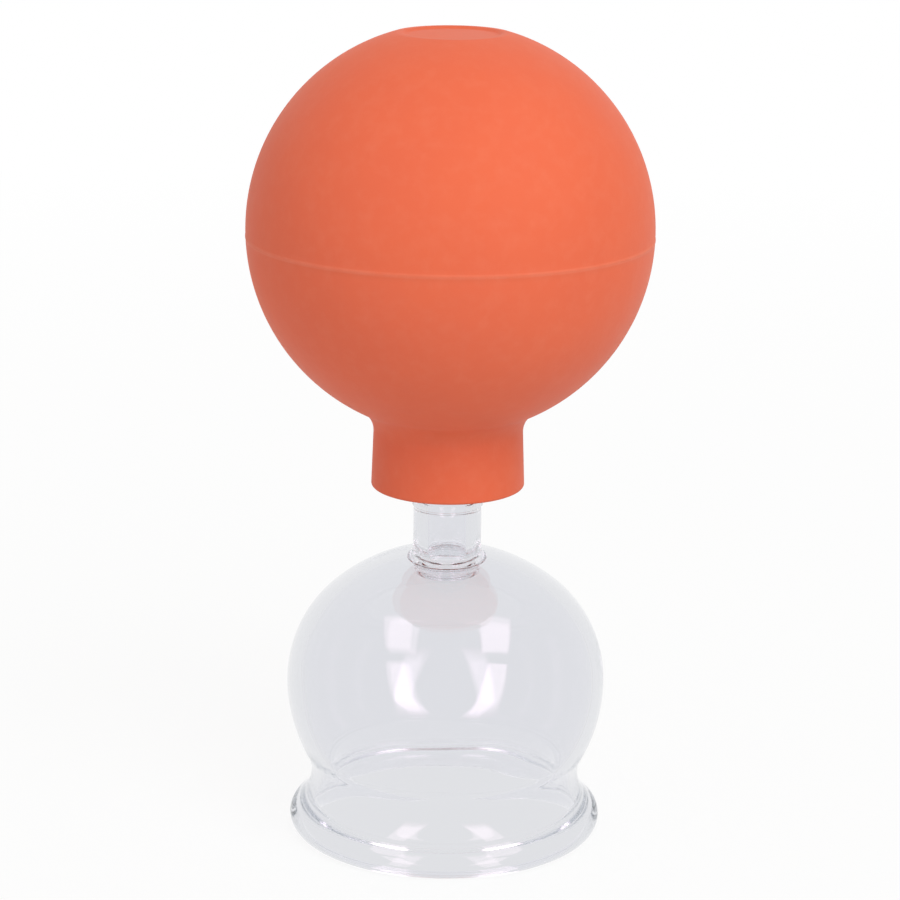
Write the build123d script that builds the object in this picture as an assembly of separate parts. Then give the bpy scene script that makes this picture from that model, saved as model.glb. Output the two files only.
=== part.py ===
from build123d import *
import math
import os

# A cupping cup: a clear glass cup with a hollow stem, and a rubber squeeze ball
# whose neck is pushed down over the stem. The ball is two moulded halves bonded
# at their seam. Millimetres, +Z up, origin on the cup's axis in the plane of
# the rim that rests on the skin or on a table.

# ---- Driving dimensions: the glass cup ----
RIM_OUTER_RADIUS = 24.4
RIM_BEAD_RADIUS = 2.2
RIM_LAND_WIDTH = 1.2
WAIST_ARC_RADIUS = 6.8
RIM_INSIDE_EASE = 3.0
BOWL_RADIUS = 24.8
BOWL_DIP = 0.6
DOME_FLATTENING = 3.6
DOME_CROWN_EASE = 3.2
GLASS_WALL = 2.0

# ---- Driving dimensions: the glass stem ----
# The spigot is the end that the neck grips. The stem below it and the collar
# that the neck rests on each stand out a little further.
SPIGOT_RADIUS = 5.0
SPIGOT_LENGTH = 14.0
SPIGOT_TIP_RADIUS = 0.9
STEM_STEP = 0.25
STEM_LENGTH = 7.1
STEM_FOOT_RADIUS = 1.0
COLLAR_STEP = 0.2
COLLAR_HEIGHT = 3.2
COLLAR_EDGE_RADIUS = 0.12
AIR_BORE_RADIUS = 3.0

# ---- Driving dimensions: the lip that the stem's tube leaves inside the dome ----
BORE_LIP_WIDTH = 2.0
BORE_LIP_DROP = 2.1
BORE_LIP_RADIUS = 0.8
BORE_LIP_ROOT_RADIUS = 0.8

# ---- Driving dimensions: the rubber ball ----
BALL_RADIUS = 30.85
BALL_WALL = 2.5
SEAM_DROP = 0.87
POLE_FLAT_RADIUS = 8.5
POLE_EDGE_RADIUS = 1.5
POLE_DISH_RADIUS = 7.4
POLE_DISH_DEPTH = 0.3
SEAM_BEAD_RADIUS = 0.45
SEAM_BEAD_RISE = 0.18
NECK_WALL = 6.33
NECK_FLARE = 0.4
NECK_LENGTH = 11.2
NECK_EDGE_RADIUS = 0.4
NECK_ROOT_RADIUS = 2.4
NECK_MOUTH_RADIUS = 0.8

# ---- Fits ----
# Radial gap between the neck's bore and the spigot, standing for the rubber's
# stretched grip on the glass.
NECK_CLEARANCE = 0.05


def angle_to(start, end):
    """Direction in degrees from one profile point to another."""
    return math.degrees(math.atan2(end[1] - start[1], end[0] - start[0]))


def point_on(centre, radius, degrees):
    """Point of a circle at an angle."""
    turn = math.radians(degrees)
    return (centre[0] + radius * math.cos(turn), centre[1] + radius * math.sin(turn))


def outer_meeting(centre_a, radius_a, centre_b, radius_b):
    """The crossing of two circles that lies furthest from the axis."""
    gap = math.dist(centre_a, centre_b)
    along = (gap**2 + radius_a**2 - radius_b**2) / (2 * gap)
    aside = math.sqrt(radius_a**2 - along**2)
    ux = (centre_b[0] - centre_a[0]) / gap
    uy = (centre_b[1] - centre_a[1]) / gap
    foot = (centre_a[0] + along * ux, centre_a[1] + along * uy)
    sides = [
        (foot[0] - aside * uy, foot[1] + aside * ux),
        (foot[0] + aside * uy, foot[1] - aside * ux),
    ]
    return max(sides)


def inner_meeting(centre_a, radius_a, centre_b, radius_b):
    """The crossing of two circles that lies nearest to the axis."""
    far = outer_meeting(centre_a, radius_a, centre_b, radius_b)
    gap = math.dist(centre_a, centre_b)
    ux = (centre_b[0] - centre_a[0]) / gap
    uy = (centre_b[1] - centre_a[1]) / gap
    along = (far[0] - centre_a[0]) * ux + (far[1] - centre_a[1]) * uy
    foot = (centre_a[0] + along * ux, centre_a[1] + along * uy)
    return (2 * foot[0] - far[0], 2 * foot[1] - far[1])


def arc(centre, radius, start, end):
    """Arc about a centre from one angle to another, in degrees."""
    return CenterArc(centre, radius, start, end - start)


def rounded(profile, corner, radius):
    """The profile with the corner nearest to a point rounded off."""
    nearest = profile.vertices().sort_by_distance((corner[0], 0, corner[1]))[0]
    return fillet(nearest, radius)


def turned(profile):
    """The solid that a half profile sweeps about the axis."""
    return revolve(profile, Axis.Z, 360)


# ---- Places that follow from the glass sizes ----
bead_centre = (
    RIM_OUTER_RADIUS - RIM_BEAD_RADIUS,
    math.sqrt(RIM_BEAD_RADIUS**2 - (RIM_LAND_WIDTH / 2) ** 2),
)
bowl_centre = (0.0, BOWL_RADIUS - BOWL_DIP)
waist_centre = outer_meeting(
    bead_centre,
    RIM_BEAD_RADIUS + WAIST_ARC_RADIUS,
    bowl_centre,
    BOWL_RADIUS + WAIST_ARC_RADIUS,
)
dome_rise = BOWL_RADIUS - DOME_FLATTENING
dome_radius = BOWL_RADIUS + DOME_CROWN_EASE
dome_centre = (0.0, bowl_centre[1] + dome_rise - dome_radius)
shoulder_radius = (
    BOWL_RADIUS**2 + (dome_radius - dome_rise) ** 2 - dome_radius**2
) / (2 * (BOWL_RADIUS - dome_radius))
shoulder_centre = (BOWL_RADIUS - shoulder_radius, bowl_centre[1])
dome_apex_z = bowl_centre[1] + dome_rise
stem_radius = SPIGOT_RADIUS + STEM_STEP
collar_radius = stem_radius + COLLAR_STEP
spigot_wall = SPIGOT_RADIUS - AIR_BORE_RADIUS
tip_radius = min(SPIGOT_TIP_RADIUS, 0.45 * spigot_wall)
lip_outer_radius = AIR_BORE_RADIUS + BORE_LIP_WIDTH
lip_radius = min(BORE_LIP_RADIUS, 0.45 * BORE_LIP_WIDTH)
lip_root_radius = min(BORE_LIP_ROOT_RADIUS, 0.7 * (BORE_LIP_DROP - lip_radius))
collar_foot_z = dome_apex_z + STEM_LENGTH
neck_seat_z = collar_foot_z + COLLAR_HEIGHT
spigot_tip_z = neck_seat_z + SPIGOT_LENGTH

# ---- Places that follow from the ball sizes ----
neck_bore_radius = SPIGOT_RADIUS + NECK_CLEARANCE
neck_top_radius = neck_bore_radius + NECK_WALL
neck_foot_radius = neck_top_radius + NECK_FLARE
neck_root_z = neck_seat_z + NECK_LENGTH
ball_centre_z = neck_root_z + math.sqrt(BALL_RADIUS**2 - neck_top_radius**2)
seam_z = ball_centre_z - SEAM_DROP
seam_radius = math.sqrt(BALL_RADIUS**2 - SEAM_DROP**2)
pole_z = ball_centre_z + math.sqrt(BALL_RADIUS**2 - POLE_FLAT_RADIUS**2)
ball_inner_radius = BALL_RADIUS - BALL_WALL
pole_inner_z = pole_z - BALL_WALL
pole_inner_radius = math.sqrt(ball_inner_radius**2 - (pole_inner_z - ball_centre_z) ** 2)
neck_mouth_z = ball_centre_z - math.sqrt(ball_inner_radius**2 - neck_bore_radius**2)


def cup_wall(offset):
    """Arcs of one face of the glass, from the waist's foot up to the dome.

    The offset is how far the face lies inside the outer one, so both faces
    share their centres and the wall is even.
    """
    waist = WAIST_ARC_RADIUS + offset
    at_bowl = angle_to(bowl_centre, waist_centre)
    at_dome = angle_to(dome_centre, shoulder_centre)
    if offset:
        foot = inner_meeting(waist_centre, waist, bead_centre, RIM_BEAD_RADIUS)
        top = lip_outer_radius
    else:
        foot = bead_centre
        top = stem_radius
    waist_start = angle_to(waist_centre, foot) % 360
    dome_end = math.degrees(math.acos(top / (dome_radius - offset)))
    return [
        arc(waist_centre, waist, waist_start, at_bowl + 180),
        arc(bowl_centre, BOWL_RADIUS - offset, at_bowl, 0),
        arc(shoulder_centre, shoulder_radius - offset, 0, at_dome),
        arc(dome_centre, dome_radius - offset, at_dome, dome_end),
    ]


def glass_cup():
    """Cup with a rolled rim, a waist, a round bowl, a dome and a hollow stem."""
    land_start = angle_to(bead_centre, (bead_centre[0] + RIM_LAND_WIDTH / 2, 0))
    bead_outer = arc(
        bead_centre, RIM_BEAD_RADIUS, land_start, angle_to(bead_centre, waist_centre)
    )
    outer = cup_wall(0)
    inner = cup_wall(GLASS_WALL)
    groove = inner_meeting(
        waist_centre, WAIST_ARC_RADIUS + GLASS_WALL, bead_centre, RIM_BEAD_RADIUS
    )
    bead_inner = arc(
        bead_centre, RIM_BEAD_RADIUS, angle_to(bead_centre, groove), 180 - land_start
    )
    dome_foot = outer[-1] @ 1
    lip_root = inner[-1] @ 1
    lip_z = lip_root.Y - BORE_LIP_DROP
    stem = Polyline(
        (dome_foot.X, dome_foot.Y),
        (stem_radius, collar_foot_z),
        (collar_radius, collar_foot_z),
        (collar_radius, neck_seat_z),
        (SPIGOT_RADIUS, neck_seat_z),
        (SPIGOT_RADIUS, spigot_tip_z),
        (AIR_BORE_RADIUS, spigot_tip_z),
        (AIR_BORE_RADIUS, lip_z),
        (lip_outer_radius, lip_z),
        (lip_root.X, lip_root.Y),
    )
    land = Line(
        (bead_centre[0] - RIM_LAND_WIDTH / 2, 0), (bead_centre[0] + RIM_LAND_WIDTH / 2, 0)
    )
    outline = [bead_outer, *outer, stem, *inner, bead_inner, land]
    profile = Plane.XZ * make_face(Curve() + outline)
    roundings = [
        ((dome_foot.X, dome_foot.Y), STEM_FOOT_RADIUS),
        ((collar_radius, collar_foot_z), COLLAR_EDGE_RADIUS),
        ((collar_radius, neck_seat_z), COLLAR_EDGE_RADIUS),
        ((SPIGOT_RADIUS, spigot_tip_z), tip_radius),
        ((AIR_BORE_RADIUS, spigot_tip_z), tip_radius),
        ((AIR_BORE_RADIUS, lip_z), lip_radius),
        ((lip_outer_radius, lip_z), lip_radius),
        ((lip_root.X, lip_root.Y), lip_root_radius),
        (groove, RIM_INSIDE_EASE),
    ]
    for corner, radius in roundings:
        profile = rounded(profile, corner, radius)
    return turned(profile)


def ball_profile():
    """Half section of the whole ball and its neck, with the bead of its seam."""
    centre = (0, ball_centre_z)
    root_angle = angle_to(centre, (neck_top_radius, neck_root_z))
    pole_angle = angle_to(centre, (POLE_FLAT_RADIUS, pole_z))
    pole_inner_angle = angle_to(centre, (pole_inner_radius, pole_inner_z))
    mouth_angle = angle_to(centre, (neck_bore_radius, neck_mouth_z))
    outline = [
        Polyline(
            (neck_bore_radius, neck_mouth_z),
            (neck_bore_radius, neck_seat_z),
            (neck_foot_radius, neck_seat_z),
            (neck_top_radius, neck_root_z),
        ),
        arc(centre, BALL_RADIUS, root_angle, pole_angle),
        Polyline(
            (POLE_FLAT_RADIUS, pole_z),
            (POLE_DISH_RADIUS, pole_z),
            (POLE_DISH_RADIUS - POLE_DISH_DEPTH, pole_z - POLE_DISH_DEPTH),
            (0, pole_z - POLE_DISH_DEPTH),
            (0, pole_inner_z),
            (pole_inner_radius, pole_inner_z),
        ),
        arc(centre, ball_inner_radius, pole_inner_angle, mouth_angle),
    ]
    profile = Plane.XZ * make_face(Curve() + outline)
    roundings = [
        ((neck_foot_radius, neck_seat_z), NECK_EDGE_RADIUS),
        ((neck_top_radius, neck_root_z), NECK_ROOT_RADIUS),
        ((neck_bore_radius, neck_mouth_z), NECK_MOUTH_RADIUS),
        ((POLE_FLAT_RADIUS, pole_z), POLE_EDGE_RADIUS),
    ]
    for corner, radius in roundings:
        profile = rounded(profile, corner, radius)
    bead_x = seam_radius + SEAM_BEAD_RISE - SEAM_BEAD_RADIUS
    bead = Plane.XZ * Pos(bead_x, seam_z) * Circle(SEAM_BEAD_RADIUS)
    return profile + bead


def ball_half(above):
    """One moulded half of the ball: its section on one side of the seam plane."""
    reach = 2 * pole_z
    middle = seam_z + (reach / 2 if above else -reach / 2)
    side = Plane.XZ * Pos(reach / 2, middle) * Rectangle(reach, reach)
    return turned(ball_profile() & side)


nodes = {
    "glass_cup": glass_cup(),
    "ball_lower_half": ball_half(above=False),
    "ball_upper_half": ball_half(above=True),
}

os.makedirs("parts", exist_ok=True)
for name, solid in nodes.items():
    solid.label = name
    export_step(solid, f"parts/{name}.step")

print(f"height {pole_z:.2f}  seam {seam_z:.2f}  neck seat {neck_seat_z:.2f}")
print(f"waist radius {waist_centre[0] - WAIST_ARC_RADIUS:.2f} at z {waist_centre[1]:.2f}")
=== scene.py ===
"""A glass cupping cup with a rubber squeeze ball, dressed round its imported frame.

The cup is one spun wall of clear glass. The ball is two moulded rubber halves
that meet at a raised seam, and the upper half flattens when the ball is pressed.
Lengths are metres and the frame is the model's own, +Z up, rim at z = 0.
"""

import logging
import math
from dataclasses import dataclass, field
from enum import Enum

import bmesh
import bpy
from mathutils import Matrix, Vector, noise


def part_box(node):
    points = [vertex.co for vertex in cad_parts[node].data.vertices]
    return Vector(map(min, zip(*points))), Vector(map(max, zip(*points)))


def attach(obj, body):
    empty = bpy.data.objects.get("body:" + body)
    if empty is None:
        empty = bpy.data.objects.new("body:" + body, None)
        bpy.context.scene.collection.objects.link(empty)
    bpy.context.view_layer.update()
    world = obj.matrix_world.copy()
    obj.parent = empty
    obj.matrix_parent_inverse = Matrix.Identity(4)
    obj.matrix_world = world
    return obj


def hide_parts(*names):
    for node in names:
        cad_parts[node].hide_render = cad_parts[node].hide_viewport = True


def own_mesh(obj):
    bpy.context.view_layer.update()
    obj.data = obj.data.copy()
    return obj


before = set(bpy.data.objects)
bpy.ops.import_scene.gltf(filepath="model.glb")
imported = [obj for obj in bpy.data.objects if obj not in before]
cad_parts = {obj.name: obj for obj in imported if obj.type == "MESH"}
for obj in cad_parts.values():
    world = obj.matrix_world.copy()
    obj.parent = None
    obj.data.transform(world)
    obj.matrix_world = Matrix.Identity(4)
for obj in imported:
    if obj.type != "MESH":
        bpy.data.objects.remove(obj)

MM = 0.001
# Points nearer than this are one point.
WELD = 0.002 * MM
LOG = logging.getLogger("cupping_cup")

Point = tuple[float, float]
Place = tuple[float, float, float]
Colour = tuple[float, float, float, float]


class Slot(Enum):
    """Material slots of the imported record."""

    GLASS = "clear_glass"
    RUBBER = "ball_rubber"


class Body(Enum):
    """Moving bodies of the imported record."""

    CUP = "cup"
    BALL = "ball"


def linear(hex_colour: str) -> Colour:
    """Turn an sRGB hex colour into linear light.

    Args:
        hex_colour: Six hex digits, with or without a leading hash.

    Returns:
        Red, green, blue and an alpha of 1.
    """
    digits = hex_colour.lstrip("#")
    shares = [int(digits[i : i + 2], 16) / 255 for i in (0, 2, 4)]
    lit = [s / 12.92 if s <= 0.04045 else ((s + 0.055) / 1.055) ** 2.4 for s in shares]
    return (lit[0], lit[1], lit[2], 1.0)


def add_node(
    tree: bpy.types.NodeTree,
    kind: str,
    settings: dict[str, object] | None = None,
    inputs: dict[str | int, object] | None = None,
) -> bpy.types.Node:
    """Add one node with its settings, values and links.

    Args:
        tree: Node tree that gets the node.
        kind: Node type, such as "ShaderNodeTexNoise".
        settings: Properties of the node, by name.
        inputs: Values or sockets to link, by the input's name or number.

    Returns:
        The new node.
    """
    node = tree.nodes.new(kind)
    for name, value in (settings or {}).items():
        setattr(node, name, value)
    for key, value in (inputs or {}).items():
        if isinstance(value, bpy.types.NodeSocket):
            tree.links.new(value, node.inputs[key])
        else:
            node.inputs[key].default_value = value
    return node


def new_tree(name: str) -> tuple[bpy.types.Material, bpy.types.NodeTree]:
    """Make an empty material.

    Args:
        name: Name of the material.

    Returns:
        The material and its cleared node tree.
    """
    material = bpy.data.materials.new(name)
    material.use_nodes = True
    material.node_tree.nodes.clear()
    return material, material.node_tree


def tangent_centre(
    circle: Point, reach: float, line_from: Point, line_to: Point, gap: float
) -> Point:
    """Find the centre of a rounding that touches a circle and a straight line.

    Args:
        circle: Centre of the circle.
        reach: Distance wanted from that centre.
        line_from: One point of the line.
        line_to: A further point; the rounding lies to the right of this way.
        gap: Distance wanted from the line.

    Returns:
        The candidate that lies nearest to the line's second point.
    """
    run = Vector(line_to) - Vector(line_from)
    run.normalize()
    aside = Vector((run.y, -run.x)) * gap
    start = Vector(line_from) + aside - Vector(circle)
    along = -start.dot(run)
    half = math.sqrt(reach**2 - (start + run * along).length_squared)
    options = [Vector(circle) + start + run * (along + s * half) for s in (-1, 1)]
    best = min(options, key=lambda p: (p - Vector(line_to)).length)
    return (best.x, best.y)


def tangent_between(
    circle_a: Point, reach_a: float, circle_b: Point, reach_b: float, outward: bool
) -> Point:
    """Find the centre of a rounding that touches two circles.

    Args:
        circle_a: Centre of the first circle.
        reach_a: Distance wanted from the first centre.
        circle_b: Centre of the second circle.
        reach_b: Distance wanted from the second centre.
        outward: True for the solution further from the axis.

    Returns:
        Radius and height of the centre.
    """
    span = Vector(circle_b) - Vector(circle_a)
    along = (span.length_squared + reach_a**2 - reach_b**2) / (2 * span.length)
    half = math.sqrt(reach_a**2 - along**2)
    span.normalize()
    foot = Vector(circle_a) + span * along
    aside = Vector((span.y, -span.x)) * half
    options = sorted([foot + aside, foot - aside], key=lambda p: p.x)
    best = options[1] if outward else options[0]
    return (best.x, best.y)


def heading(start: Point, end: Point) -> float:
    """Direction in radians from one section point to another."""
    return math.atan2(end[1] - start[1], end[0] - start[0])


class Outline:
    """A half section drawn step by step in the XZ plane, then turned about Z."""

    def __init__(self, start: Point, step: float, sharpest: float = 6.0) -> None:
        """Start the section.

        Args:
            start: Radius and height of its first point.
            step: Longest edge that an arc may be drawn with.
            sharpest: Most degrees that an arc may turn from one edge to the next.
        """
        self.mesh = bmesh.new()
        self.step = step
        self.sharpest = math.radians(sharpest)
        self.first = self.mesh.verts.new((start[0], 0, start[1]))
        self.tip = self.first

    def line(self, end: Point, cuts: int = 1) -> "Outline":
        """Draw straight on.

        Args:
            end: Radius and height where the line ends.
            cuts: Number of equal edges that the line is made of.

        Returns:
            This outline.
        """
        stride = (Vector((end[0], 0, end[1])) - self.tip.co) / cuts
        for _ in range(cuts):
            made = bmesh.ops.extrude_vert_indiv(self.mesh, verts=[self.tip])
            self.tip = made["verts"][0]
            bmesh.ops.translate(self.mesh, verts=[self.tip], vec=stride)
        return self

    def jump(self, point: Point) -> "Outline":
        """Go on from another point, with no edge up to it.

        Args:
            point: Radius and height of the new point.

        Returns:
            This outline.
        """
        self.tip = self.mesh.verts.new((point[0], 0, point[1]))
        return self

    def arc(self, centre: Point, end_angle: float) -> "Outline":
        """Draw an arc from the tip, the short way round.

        Args:
            centre: Radius and height of the arc's centre.
            end_angle: Direction in radians from the centre to the arc's end.

        Returns:
            This outline.
        """
        here = (self.tip.co.x, self.tip.co.z)
        turn = end_angle - heading(centre, here)
        turn = (turn + math.pi) % math.tau - math.pi
        radius = math.dist(centre, here)
        made = bmesh.ops.spin(
            self.mesh,
            geom=[self.tip],
            cent=(centre[0], 0, centre[1]),
            axis=(0, -1, 0),
            dvec=(0, 0, 0),
            angle=turn,
            steps=math.ceil(abs(turn) * max(radius / self.step, 1 / self.sharpest)),
            use_merge=False,
            use_duplicate=False,
        )
        self.tip = next(g for g in made["geom_last"] if isinstance(g, bmesh.types.BMVert))
        return self

    def close(self) -> "Outline":
        """Join the tip to the first point."""
        self.mesh.edges.new((self.tip, self.first))
        return self

    def turned(self, name: str, sides: int) -> bmesh.types.BMesh:
        """Spin the section through a full turn.

        Args:
            name: Name for the log.
            sides: Number of steps round the axis.

        Returns:
            The closed skin, with its normals pointing outwards.
        """
        bmesh.ops.spin(
            self.mesh,
            geom=self.mesh.verts[:] + self.mesh.edges[:],
            cent=(0, 0, 0),
            axis=(0, 0, 1),
            dvec=(0, 0, 0),
            angle=math.tau,
            steps=sides,
            use_merge=True,
            use_duplicate=False,
        )
        bmesh.ops.remove_doubles(self.mesh, verts=self.mesh.verts[:], dist=WELD)
        bmesh.ops.recalc_face_normals(self.mesh, faces=self.mesh.faces[:])
        LOG.info("%s: %d faces", name, len(self.mesh.faces))
        return self.mesh


def waver(
    skin: bmesh.types.BMesh, depth: float, wavelength: float, seed: float, lift: float = 0.0
) -> None:
    """Move a skin in and out along its normals by a smooth, slow noise.

    Args:
        skin: Mesh to shape.
        depth: Furthest that a point moves.
        wavelength: Distance between neighbouring swells.
        seed: Offset that picks another pattern.
        lift: Height below which nothing moves, so that a rim stays level.
    """
    offset = Vector((seed, seed * 0.7, -seed))
    skin.normal_update()
    moves = []
    for vert in skin.verts:
        ease = min(1.0, max(0.0, (vert.co.z - lift) / wavelength))
        swell = noise.noise(vert.co / wavelength + offset)
        moves.append(vert.normal * (depth * swell * ease))
    for vert, move in zip(skin.verts, moves):
        vert.co += move


def make_piece(name: str, skin: bmesh.types.BMesh, material: bpy.types.Material) -> bpy.types.Object:
    """Turn a finished skin into an object at the origin.

    Args:
        name: Name of the piece.
        skin: Its mesh, which is freed.
        material: Its finish.

    Returns:
        The new object, smooth shaded.
    """
    mesh = bpy.data.meshes.new(name)
    skin.to_mesh(mesh)
    skin.free()
    mesh.shade_smooth()
    mesh.materials.append(material)
    piece = bpy.data.objects.new(name, mesh)
    bpy.context.scene.collection.objects.link(piece)
    return piece


@dataclass(frozen=True)
class BlownGlass:
    """Clear soda-lime glass, blown and fire polished.

    It bends and mirrors what is round it, its long edge-on paths look greyer
    than its thin middle, and its skin has slow swells from the gathering iron.
    """

    tint: str = "#FCFCFE"
    ior: float = 1.5
    depth_colour: str = "#D9DEE3"
    depth_density: float = 8.0
    swell_mm: float = 7.0
    swell_depth_mm: float = 0.03
    swell_strength: float = 0.35

    def material(self) -> bpy.types.Material:
        """Build the glass.

        Returns:
            The finished material.
        """
        material, tree = new_tree("blown_soda_lime_glass")
        place = add_node(tree, "ShaderNodeTexCoord").outputs["Object"]
        swells = add_node(
            tree,
            "ShaderNodeTexNoise",
            None,
            {"Vector": place, "Scale": 1 / (self.swell_mm * MM), "Detail": 1.0, "Roughness": 0.4},
        )
        polish = add_node(
            tree,
            "ShaderNodeBump",
            None,
            {
                "Strength": self.swell_strength,
                "Distance": self.swell_depth_mm * MM,
                "Height": swells.outputs["Fac"],
            },
        )
        shader = add_node(
            tree,
            "ShaderNodeBsdfPrincipled",
            None,
            {
                "Base Color": linear(self.tint),
                "Roughness": 0.0,
                "IOR": self.ior,
                "Transmission Weight": 1.0,
                "Normal": polish.outputs["Normal"],
            },
        )
        depth = add_node(
            tree,
            "ShaderNodeVolumeAbsorption",
            None,
            {"Color": linear(self.depth_colour), "Density": self.depth_density},
        )
        add_node(
            tree,
            "ShaderNodeOutputMaterial",
            None,
            {"Surface": shader.outputs["BSDF"], "Volume": depth.outputs["Volume"]},
        )
        return material


@dataclass(frozen=True)
class MouldedRubber:
    """Pigmented natural rubber, vulcanised in a sand-blasted mould.

    It is matt and even, with a fine grain from the mould and soft cloudy changes
    of colour. A faint bloom lies on it in patches. A pale line along the seam is a
    painted highlight, for the light that the raised bead catches from above.
    """

    seam_z: float
    colour: str = "#EC6840"
    deep: str = "#E45E38"
    # Pale colour of the bloom patches, and of the painted highlight along the seam.
    pale_bloom_and_highlight: str = "#F5A083"
    bloom_share: tuple[float, float] = (0.02, 0.08)
    # Strength of the painted highlight, a pale line along the seam for light on the bead.
    seam_painted_highlight: float = 0.32
    roughness: tuple[float, float] = (0.6, 0.7)
    cloud_mm: float = 16.0
    bloom_mm: float = 2.4
    # The mould's grain is about 0.1 mm; it is drawn coarser so that it shows.
    grain_mm: float = 0.45
    grain_depth_mm: float = 0.05
    seam_mm: float = 0.42

    def material(self) -> bpy.types.Material:
        """Build the rubber.

        Returns:
            The finished material.
        """
        material, tree = new_tree("moulded_rubber_orange_red")
        place = add_node(tree, "ShaderNodeTexCoord").outputs["Object"]
        clouds = self.noise(tree, place, self.cloud_mm, 3.0)
        patches = self.noise(tree, place, self.bloom_mm, 4.0)
        grain = self.noise(tree, place, self.grain_mm, 3.0)
        cloudy = add_node(
            tree,
            "ShaderNodeMix",
            {"data_type": "RGBA"},
            {6: linear(self.deep), 7: linear(self.colour), "Factor": clouds},
        )
        dusty = add_node(
            tree,
            "ShaderNodeMapRange",
            None,
            {
                "Value": patches,
                "From Min": 0.45,
                "From Max": 0.75,
                "To Min": self.bloom_share[0],
                "To Max": self.bloom_share[1],
            },
        )
        # Bloom in patches, plus the painted highlight along the seam; the larger one wins.
        bloom_and_seam_highlight = add_node(
            tree,
            "ShaderNodeMath",
            {"operation": "MAXIMUM"},
            {0: dusty.outputs["Result"], 1: self.painted_seam_highlight(tree, place, patches)},
        )
        coloured = add_node(
            tree,
            "ShaderNodeMix",
            {"data_type": "RGBA"},
            {6: cloudy.outputs[2], 7: linear(self.pale_bloom_and_highlight), "Factor": bloom_and_seam_highlight.outputs[0]},
        )
        mattness = add_node(
            tree,
            "ShaderNodeMapRange",
            None,
            {
                "Value": clouds,
                "From Min": 0.3,
                "From Max": 0.7,
                "To Min": self.roughness[0],
                "To Max": self.roughness[1],
            },
        )
        texture = add_node(
            tree,
            "ShaderNodeBump",
            None,
            {"Strength": 0.4, "Distance": self.grain_depth_mm * MM, "Height": grain},
        )
        shader = add_node(
            tree,
            "ShaderNodeBsdfPrincipled",
            None,
            {
                "Base Color": coloured.outputs[2],
                "Roughness": mattness.outputs["Result"],
                "IOR": 1.5,
                "Specular IOR Level": 0.5,
                "Sheen Weight": 0.08,
                "Sheen Roughness": 0.5,
                "Sheen Tint": linear("#FFF0E8"),
                "Normal": texture.outputs["Normal"],
            },
        )
        add_node(tree, "ShaderNodeOutputMaterial", None, {"Surface": shader.outputs["BSDF"]})
        return material

    def noise(
        self,
        tree: bpy.types.NodeTree,
        place: bpy.types.NodeSocket,
        size_mm: float,
        detail: float,
    ) -> bpy.types.NodeSocket:
        """Add a cloudy pattern.

        Args:
            tree: Node tree that gets it.
            place: Position on the piece.
            size_mm: Size of its largest patches.
            detail: Number of finer layers.

        Returns:
            The pattern, from 0 to 1.
        """
        inputs = {"Vector": place, "Scale": 1 / (size_mm * MM), "Detail": detail, "Roughness": 0.6}
        return add_node(tree, "ShaderNodeTexNoise", None, inputs).outputs["Fac"]

    def painted_seam_highlight(
        self,
        tree: bpy.types.NodeTree,
        place: bpy.types.NodeSocket,
        patches: bpy.types.NodeSocket,
    ) -> bpy.types.NodeSocket:
        """Paint a pale line along the seam: a painted highlight, for the light that the
        raised bead catches from above.

        Args:
            tree: Node tree that gets the nodes.
            place: Position on the piece.
            patches: Pattern that makes the line uneven.

        Returns:
            How much pale colour the painted highlight carries, 0 away from the seam.
        """
        height = add_node(tree, "ShaderNodeSeparateXYZ", None, {"Vector": place})
        above = add_node(
            tree,
            "ShaderNodeMath",
            {"operation": "SUBTRACT"},
            {0: height.outputs["Z"], 1: self.seam_z},
        )
        away = add_node(tree, "ShaderNodeMath", {"operation": "ABSOLUTE"}, {0: above.outputs[0]})
        near = add_node(
            tree,
            "ShaderNodeMapRange",
            None,
            {
                "Value": away.outputs[0],
                "From Min": 0.5 * self.seam_mm * MM,
                "From Max": 1.2 * self.seam_mm * MM,
                "To Min": self.seam_painted_highlight,
                "To Max": 0.0,
            },
        )
        uneven = add_node(
            tree,
            "ShaderNodeMath",
            {"operation": "MULTIPLY"},
            {0: near.outputs["Result"], 1: patches},
        )
        return uneven.outputs[0]


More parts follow.
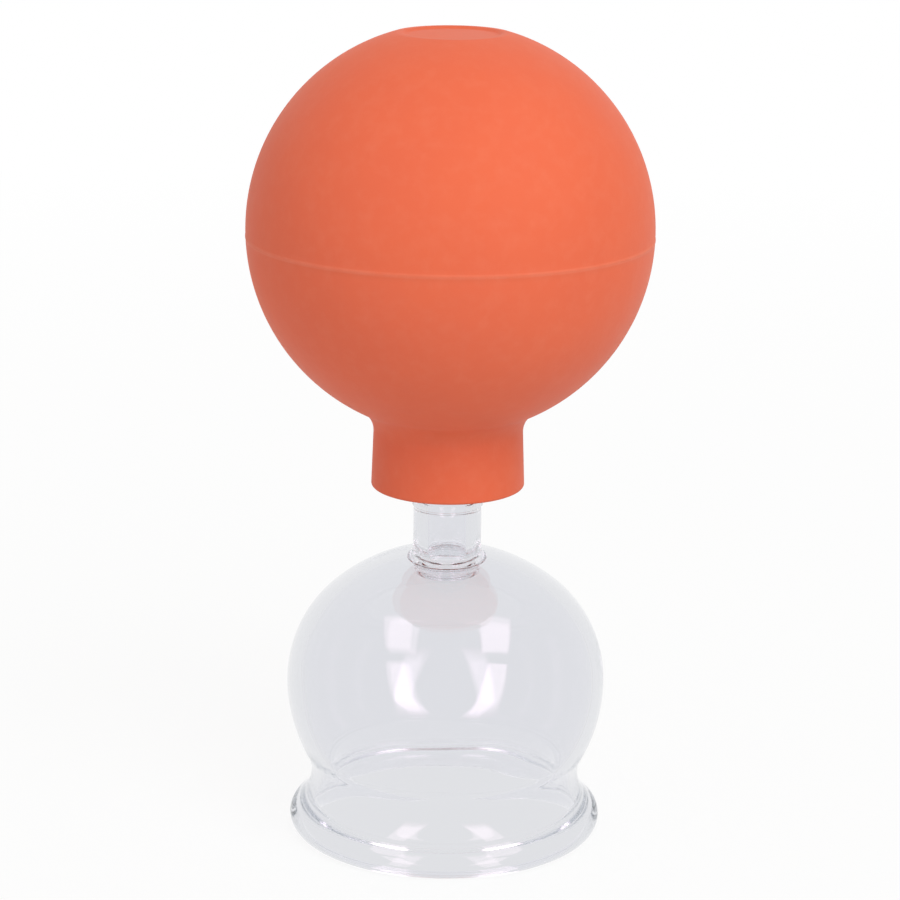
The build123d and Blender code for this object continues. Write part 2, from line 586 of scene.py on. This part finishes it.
@dataclass
class GlassCup:
    """The cup: rolled rim, waist, bowl, dome, and a stem with collar and spigot."""

    finish: BlownGlass
    wall: float = 2.0 * MM
    bead_radius: float = 2.2 * MM
    rim_radius: float = 24.4 * MM
    land_width: float = 1.2 * MM
    waist_arc: float = 6.8 * MM
    rim_ease: float = 3.0 * MM
    bowl_dip: float = 0.6 * MM
    dome_flattening: float = 3.6 * MM
    dome_ease: float = 3.2 * MM
    stem_radius: float = 5.25 * MM
    stem_foot: float = 1.0 * MM
    collar_radius: float = 5.45 * MM
    collar_height: float = 3.2 * MM
    collar_edge: float = 0.18 * MM
    spigot_radius: float = 5.0 * MM
    tip_radius: float = 0.9 * MM
    bore_radius: float = 3.0 * MM
    lip_width: float = 2.0 * MM
    lip_drop: float = 2.1 * MM
    lip_round: float = 0.8 * MM
    lip_root: float = 0.8 * MM
    # The blower's hand leaves slow swells, and grinding leaves the rim level.
    swell_depth: float = 0.07 * MM
    swell_length: float = 11.0 * MM
    swell_seed: float = 3.1
    level_rim: float = 3.0 * MM
    sides: int = 240
    step: float = 0.75 * MM

    def build(self) -> bpy.types.Object:
        """Spin the wall of glass and dress it.

        Returns:
            The finished piece, riding on the cup.
        """
        skin = self.outline().turned("glass_wall", self.sides)
        waver(skin, self.swell_depth, self.swell_length, self.swell_seed, self.level_rim)
        piece = make_piece("cup_glass", skin, self.finish.material())
        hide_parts("glass_cup")
        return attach(piece, Body.CUP.value)

    def outline(self) -> Outline:
        """Draw the section of the glass, up the outside and down the inside.

        Returns:
            The closed half section.
        """
        low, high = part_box("glass_cup")
        bowl_radius = high[0]
        tip_z = high[2]
        seat_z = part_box("ball_lower_half")[0][2]
        foot_z = seat_z - self.collar_height
        half_land = self.land_width / 2
        bead = (
            self.rim_radius - self.bead_radius,
            low[2] + math.sqrt(self.bead_radius**2 - half_land**2),
        )
        bowl = (0.0, bowl_radius - self.bowl_dip)
        waist = tangent_between(
            bead, self.bead_radius + self.waist_arc, bowl, bowl_radius + self.waist_arc, outward=True
        )
        rise = bowl_radius - self.dome_flattening
        dome_radius = bowl_radius + self.dome_ease
        dome = (0.0, bowl[1] + rise - dome_radius)
        shoulder_radius = (
            bowl_radius**2 + (dome_radius - rise) ** 2 - dome_radius**2
        ) / (2 * (bowl_radius - dome_radius))
        shoulder = (bowl_radius - shoulder_radius, bowl[1])
        foot = (
            self.stem_radius + self.stem_foot,
            dome[1]
            + math.sqrt(
                (dome_radius + self.stem_foot) ** 2 - (self.stem_radius + self.stem_foot) ** 2
            ),
        )
        inner_dome = dome_radius - self.wall
        lip_outer = self.bore_radius + self.lip_width
        lip_z = dome[1] + math.sqrt(inner_dome**2 - lip_outer**2) - self.lip_drop
        root_x = lip_outer + self.lip_root
        lip_root = (root_x, dome[1] + math.sqrt((inner_dome - self.lip_root) ** 2 - root_x**2))
        lip_inside = (self.bore_radius + self.lip_round, lip_z + self.lip_round)
        lip_outside = (lip_outer - self.lip_round, lip_z + self.lip_round)
        inner_waist = self.waist_arc + self.wall
        ease = tangent_between(
            bead, self.bead_radius + self.rim_ease, waist, inner_waist + self.rim_ease, outward=False
        )
        edge = self.collar_edge
        tip = self.tip_radius
        draw = Outline((bead[0] + half_land, low[2]), self.step)
        draw.arc(bead, heading(bead, waist))
        draw.arc(waist, heading(waist, bowl))
        draw.arc(bowl, 0.0)
        draw.arc(shoulder, heading(dome, shoulder))
        draw.arc(dome, heading(dome, foot))
        draw.arc(foot, math.pi)
        draw.line((self.stem_radius, foot_z), 8)
        draw.line((self.collar_radius - edge, foot_z))
        draw.arc((self.collar_radius - edge, foot_z + edge), 0.0)
        draw.line((self.collar_radius, seat_z - edge), 4)
        draw.arc((self.collar_radius - edge, seat_z - edge), math.pi / 2)
        draw.line((self.spigot_radius, seat_z))
        draw.line((self.spigot_radius, tip_z - tip), 12)
        draw.arc((self.spigot_radius - tip, tip_z - tip), math.pi / 2)
        draw.line((self.bore_radius + tip, tip_z))
        draw.arc((self.bore_radius + tip, tip_z - tip), math.pi)
        draw.line((self.bore_radius, lip_inside[1]), 24)
        draw.arc(lip_inside, -math.pi / 2)
        draw.line((lip_outside[0], lip_z))
        draw.arc(lip_outside, 0.0)
        draw.line((lip_outer, lip_root[1]))
        draw.arc(lip_root, heading(dome, lip_root))
        draw.arc(dome, heading(dome, shoulder))
        draw.arc(shoulder, 0.0)
        draw.arc(bowl, heading(bowl, waist))
        draw.arc(waist, heading(waist, ease))
        draw.arc(ease, heading(ease, bead))
        draw.arc(bead, heading(bead, (bead[0] - half_land, low[2])))
        return draw.close()


@dataclass
class RubberBall:
    """The squeeze ball: a thick neck, and two halves that meet at a raised seam."""

    finish: MouldedRubber
    wall: float = 2.5 * MM
    seam_drop: float = 0.87 * MM
    # The bead is moulded to its full rise and then buffed down to the rest.
    moulded_rise: float = 0.18 * MM
    bead_rise: float = 0.06 * MM
    bead_radius: float = 0.8 * MM
    pole_edge: float = 1.5 * MM
    dish_radius: float = 7.4 * MM
    dish_depth: float = 0.3 * MM
    neck_bore: float = 5.05 * MM
    neck_top: float = 11.38 * MM
    neck_foot: float = 11.78 * MM
    neck_length: float = 11.2 * MM
    foot_edge: float = 0.4 * MM
    root: float = 4.0 * MM
    mouth: float = 0.8 * MM
    mouth_edge: float = 0.2 * MM
    sides: int = 160
    step: float = 0.8 * MM

    def build(self) -> list[bpy.types.Object]:
        """Mould both halves and dress them in one rubber.

        Returns:
            The lower half and the upper half.
        """
        rubber = self.finish.material()
        halves = [self.lower_half(rubber), self.upper_half(rubber)]
        for piece in halves:
            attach(piece, Body.BALL.value)
        self.flatten(halves[-1])
        return halves

    def seam_radius(self) -> float:
        """Radius of the ball at its seam, under the bead."""
        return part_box("ball_upper_half")[1][0] - self.moulded_rise

    def bead(self, seam_z: float) -> Point:
        """Centre of the bead's rounding, for a seam at that height."""
        return (self.seam_radius() + self.bead_rise - self.bead_radius, seam_z)

    def radius(self) -> float:
        """Radius of the whole ball, whose centre lies a little above the seam."""
        return math.hypot(self.seam_radius(), self.seam_drop)

    def lower_half(self, rubber: bpy.types.Material) -> bpy.types.Object:
        """Mould the neck and the half below the seam.

        Args:
            rubber: Finish of the half.

        Returns:
            The lower half.
        """
        low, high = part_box("ball_lower_half")
        seam_z = high[2]
        seat_z = low[2]
        centre = (0.0, seam_z + self.seam_drop)
        radius = self.radius()
        inner = radius - self.wall
        foot = (self.neck_foot, seat_z)
        top = (self.neck_top, seat_z + self.neck_length)
        root = tangent_centre(centre, radius + self.root, foot, top, self.root)
        lean = heading(foot, top)
        mouth_x = self.neck_bore + self.mouth
        mouth = (mouth_x, centre[1] - math.sqrt((inner + self.mouth) ** 2 - mouth_x**2))
        edge = self.foot_edge
        bead = self.bead(seam_z)
        bead_foot = tangent_between(centre, radius, bead, self.bead_radius, outward=False)
        foot_centre = (self.neck_foot - edge, seat_z + edge)
        draw = Outline((self.neck_bore, seat_z), self.step)
        draw.line((foot_centre[0], seat_z), 6)
        draw.arc(foot_centre, lean - math.pi / 2)
        draw.line((root[0] - self.root * math.sin(lean), root[1] + self.root * math.cos(lean)), 8)
        draw.arc(root, heading(root, centre))
        draw.arc(centre, heading(centre, bead_foot))
        draw.arc(bead, 0.0)
        draw.line((math.sqrt(inner**2 - self.seam_drop**2), seam_z), 4)
        draw.arc(centre, heading(centre, mouth))
        draw.arc(mouth, math.pi)
        draw.line((self.neck_bore, seat_z + self.mouth_edge), 10)
        skin = draw.close().turned("ball_lower", self.sides)
        piece = make_piece("ball_rubber_lower", skin, rubber)
        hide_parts("ball_lower_half")
        return piece

    def upper_half(self, rubber: bpy.types.Material) -> bpy.types.Object:
        """Mould the half above the seam, with its flat pole.

        Args:
            rubber: Finish of the half.

        Returns:
            The upper half, which flattens towards the seam when it is pressed.
        """
        low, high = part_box("ball_upper_half")
        seam_z = low[2]
        pole_z = high[2]
        centre = (0.0, seam_z + self.seam_drop)
        radius = self.radius()
        inner = radius - self.wall
        inner_pole = pole_z - self.wall
        inner_flat = math.sqrt(inner**2 - (inner_pole - centre[1]) ** 2)
        edge = self.pole_edge
        edge_z = pole_z - edge
        edge_centre = (math.sqrt((radius - edge) ** 2 - (edge_z - centre[1]) ** 2), edge_z)
        bead = self.bead(seam_z)
        bead_top = tangent_between(centre, radius, bead, self.bead_radius, outward=True)
        draw = Outline((math.sqrt(inner**2 - self.seam_drop**2), seam_z), self.step)
        draw.line((bead[0] + self.bead_radius, seam_z), 4)
        draw.arc(bead, heading(bead, bead_top))
        draw.arc(centre, heading(centre, edge_centre))
        draw.arc(edge_centre, math.pi / 2)
        draw.line((self.dish_radius, pole_z), 2)
        draw.line((self.dish_radius - self.dish_depth, pole_z - self.dish_depth))
        draw.line((0.0, pole_z - self.dish_depth), 8)
        draw.jump((0.0, inner_pole))
        draw.line((inner_flat, inner_pole), 10)
        draw.arc(centre, -math.asin(self.seam_drop / inner))
        skin = draw.close().turned("ball_upper", self.sides)
        piece = make_piece("ball_rubber_upper", skin, rubber)
        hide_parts("ball_upper_half")
        return piece

    def flatten(self, upper: bpy.types.Object) -> None:
        """Give the upper half a mesh of its own.

        Args:
            upper: The upper half, already riding on the ball.
        """
        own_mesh(upper)


@dataclass(frozen=True)
class Lamp:
    """A square soft lamp that is aimed at the object."""

    place: Place
    size: float
    power: float
    colour: str


@dataclass
class Studio:
    """White floor and sky, window-shaped panels, soft lamps and the camera."""

    camera_place: Place = (0.0003, -0.4448, 0.182)
    camera_dip: float = 15.2
    camera_roll: float = 0.64
    lens_mm: float = 120.0
    floor_size: float = 3.0
    floor_drop: float = 0.02 * MM
    floor_cloth: str = "#F4F4F4"
    floor_glow: float = 0.92
    # The floor turns as white as the sky between these distances from the object.
    floor_fade: tuple[float, float] = (0.06, 0.6)
    # Corners of the panes of the right-hand window, each from low inner round to high inner.
    panes: dict[str, list[Place]] = field(
        default_factory=lambda: {
            "lower": [
                (0.040, -0.195, 0.001),
                (0.105, -0.170, 0.001),
                (0.470, -0.370, 0.450),
                (0.330, -0.450, 0.510),
            ],
            "upper": [
                (0.260, -0.390, 0.580),
                (0.460, -0.280, 0.520),
                (0.370, 0.100, 0.640),
                (0.170, 0.020, 0.730),
            ],
        }
    )
    # How far out each window hangs, as a share of those places, negative to the left.
    window_sides: dict[str, float] = field(default_factory=lambda: {"left": -1.0, "right": 1.1})
    pane_colour: str = "#FFECF7"
    pane_strength: float = 2.4
    pane_fade: float = 0.2
    key: Lamp = Lamp((0.45, -0.7, 0.95), 0.7, 9.3, "#F2FFFF")
    fill: Lamp = Lamp((-0.8, -0.6, 0.5), 0.8, 0.8, "#FFF6F0")
    lamp_aim: Place = (0.0, 0.0, 0.08)
    ambient: float = 0.46
    ambient_colour: str = "#FFF6F0"
    behind_glass: str = "#E2E3E5"
    light_bounces: int = 100

    def build(self) -> None:
        """Set up everything that isn't the object."""
        self.floor()
        self.sky()
        self.windows()
        self.lamps()
        self.camera()
        scene = bpy.context.scene
        scene.view_settings.view_transform = "Standard"
        # Light runs to and fro inside thick glass, and goes black when it is cut off early.
        scene.cycles.max_bounces = self.light_bounces
        scene.cycles.glossy_bounces = self.light_bounces
        scene.cycles.transmission_bounces = self.light_bounces

    def paths(
        self, tree: bpy.types.NodeTree, share: float | bpy.types.NodeSocket
    ) -> tuple[bpy.types.NodeSocket, bpy.types.NodeSocket]:
        """Tell apart the rays that meet a backdrop.

        Args:
            tree: Node tree of the floor or the sky.
            share: How white the backdrop is for the camera and for mirrored rays.

        Returns:
            That share, which is 0 for light on the object, and 1 for rays through glass.
        """
        path = add_node(tree, "ShaderNodeLightPath")
        seen = add_node(
            tree,
            "ShaderNodeMath",
            {"operation": "MAXIMUM"},
            {0: path.outputs["Is Camera Ray"], 1: path.outputs["Is Glossy Ray"]},
        )
        white = add_node(
            tree, "ShaderNodeMath", {"operation": "MULTIPLY"}, {0: seen.outputs[0], 1: share}
        )
        return white.outputs[0], path.outputs["Is Transmission Ray"]

    def floor(self) -> None:
        """Lay a plain pale floor that keeps a soft shadow."""
        skin = bmesh.new()
        bmesh.ops.create_grid(skin, x_segments=1, y_segments=1, size=self.floor_size / 2)
        bmesh.ops.translate(skin, verts=skin.verts[:], vec=(0, 0, -self.floor_drop))
        material, tree = new_tree("plain_white_floor")
        place = add_node(tree, "ShaderNodeTexCoord").outputs["Object"]
        away = add_node(tree, "ShaderNodeVectorMath", {"operation": "LENGTH"}, {0: place})
        near, far = self.floor_fade
        whiter = add_node(
            tree,
            "ShaderNodeMapRange",
            None,
            {
                "Value": away.outputs["Value"],
                "From Min": near,
                "From Max": far,
                "To Min": self.floor_glow,
                "To Max": 1.0,
            },
        )
        share, through = self.paths(tree, whiter.outputs["Result"])
        cloth = add_node(tree, "ShaderNodeBsdfDiffuse", None, {"Color": linear(self.floor_cloth)})
        glow = add_node(tree, "ShaderNodeEmission", None, {"Strength": 1.0})
        grey = add_node(tree, "ShaderNodeEmission", None, {"Color": linear(self.behind_glass)})
        mixed = add_node(
            tree, "ShaderNodeMixShader", None, {0: share, 1: cloth.outputs[0], 2: glow.outputs[0]}
        )
        mixed = add_node(
            tree, "ShaderNodeMixShader", None, {0: through, 1: mixed.outputs[0], 2: grey.outputs[0]}
        )
        add_node(tree, "ShaderNodeOutputMaterial", None, {"Surface": mixed.outputs[0]})
        make_piece("floor", skin, material)

    def sky(self) -> None:
        """White where it is seen, pale grey through glass, and else a soft light."""
        world = bpy.data.worlds.new("white_studio")
        bpy.context.scene.world = world
        world.use_nodes = True
        tree = world.node_tree
        tree.nodes.clear()
        share, through = self.paths(tree, 1.0)
        white = linear("#FFFFFF")
        grey = linear(self.behind_glass)
        light = add_node(
            tree,
            "ShaderNodeBackground",
            None,
            {"Color": linear(self.ambient_colour), "Strength": self.ambient},
        )
        seen = add_node(tree, "ShaderNodeBackground", None, {"Color": white, "Strength": 1.0})
        behind = add_node(tree, "ShaderNodeBackground", None, {"Color": grey, "Strength": 1.0})
        mixed = add_node(
            tree, "ShaderNodeMixShader", None, {0: share, 1: light.outputs[0], 2: seen.outputs[0]}
        )
        mixed = add_node(
            tree, "ShaderNodeMixShader", None, {0: through, 1: mixed.outputs[0], 2: behind.outputs[0]}
        )
        add_node(tree, "ShaderNodeOutputWorld", None, {"Surface": mixed.outputs[0]})

    def windows(self) -> None:
        """Hang a tall two-pane window on each side, for the glass to mirror."""
        material = self.window_light()
        for label, side in self.window_sides.items():
            for name, corners in self.panes.items():
                outline = [Vector((side * x, y, z)) for x, y, z in corners]
                panel = make_piece(f"window_{name}_{label}", self.pane(outline), material)
                panel.visible_camera = False
                panel.visible_diffuse = False
                panel.visible_shadow = False

    def window_light(self) -> bpy.types.Material:
        """Make the light of a pane, which is brightest inside its frame.

        Returns:
            The finished material.
        """
        material, tree = new_tree("window_light")
        inside = add_node(tree, "ShaderNodeAttribute", {"attribute_name": "glow"})
        strength = add_node(
            tree,
            "ShaderNodeMath",
            {"operation": "MULTIPLY_ADD"},
            {0: inside.outputs["Fac"], 1: self.pane_strength, 2: 1.0},
        )
        glow = add_node(
            tree,
            "ShaderNodeEmission",
            None,
            {"Color": linear(self.pane_colour), "Strength": strength.outputs[0]},
        )
        add_node(tree, "ShaderNodeOutputMaterial", None, {"Surface": glow.outputs[0]})
        return material

    def pane(self, outline: list[Vector]) -> bmesh.types.BMesh:
        """Make a pane with a border that fades outwards.

        Args:
            outline: Corners of the pane, in order round it.

        Returns:
            The pane, with its glow written on its points.
        """
        skin = bmesh.new()
        bright = skin.verts.layers.float.new("glow")
        centre = sum(outline, Vector()) / len(outline)
        rim = [skin.verts.new(corner) for corner in outline]
        inner = [skin.verts.new(corner.lerp(centre, self.pane_fade)) for corner in outline]
        for vert in inner:
            vert[bright] = 1.0
        skin.faces.new(inner)
        for i in range(len(outline)):
            j = (i + 1) % len(outline)
            skin.faces.new((rim[i], rim[j], inner[j], inner[i]))
        return skin

    def lamps(self) -> None:
        """Light the ball softly, a little more from the upper right."""
        for name, plan in (("key", self.key), ("fill", self.fill)):
            lamp = bpy.data.lights.new(name, "AREA")
            lamp.shape = "SQUARE"
            lamp.size = plan.size
            lamp.energy = plan.power
            lamp.color = linear(plan.colour)[:3]
            holder = bpy.data.objects.new(name, lamp)
            holder.location = plan.place
            aim = Vector(self.lamp_aim) - Vector(plan.place)
            holder.rotation_euler = aim.to_track_quat("-Z", "Y").to_euler()
            holder.visible_glossy = False
            holder.visible_transmission = False
            holder.visible_camera = False
            bpy.context.scene.collection.objects.link(holder)

    def camera(self) -> None:
        """Stand the camera a little above the ball, looking down."""
        lens = bpy.data.cameras.new("camera")
        lens.lens = self.lens_mm
        lens.sensor_width = 36.0
        lens.clip_start = 0.01
        holder = bpy.data.objects.new("camera", lens)
        holder.matrix_world = (
            Matrix.Translation(self.camera_place)
            @ Matrix.Rotation(math.radians(90 - self.camera_dip), 4, "X")
            @ Matrix.Rotation(math.radians(self.camera_roll), 4, "Z")
        )
        bpy.context.scene.collection.objects.link(holder)
        bpy.context.scene.camera = holder


def main() -> None:
    """Build the cup, the ball and the studio, and log the pieces built."""
    logging.basicConfig(level=logging.INFO, format="%(name)s %(message)s")
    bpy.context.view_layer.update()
    cup = GlassCup(finish=BlownGlass())
    LOG.info("built %s", cup.build().name)
    seam_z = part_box("ball_upper_half")[0][2]
    ball = RubberBall(finish=MouldedRubber(seam_z))
    for piece in ball.build():
        LOG.info("built %s", piece.name)
    Studio().build()


if __name__ == "__main__":
    main()
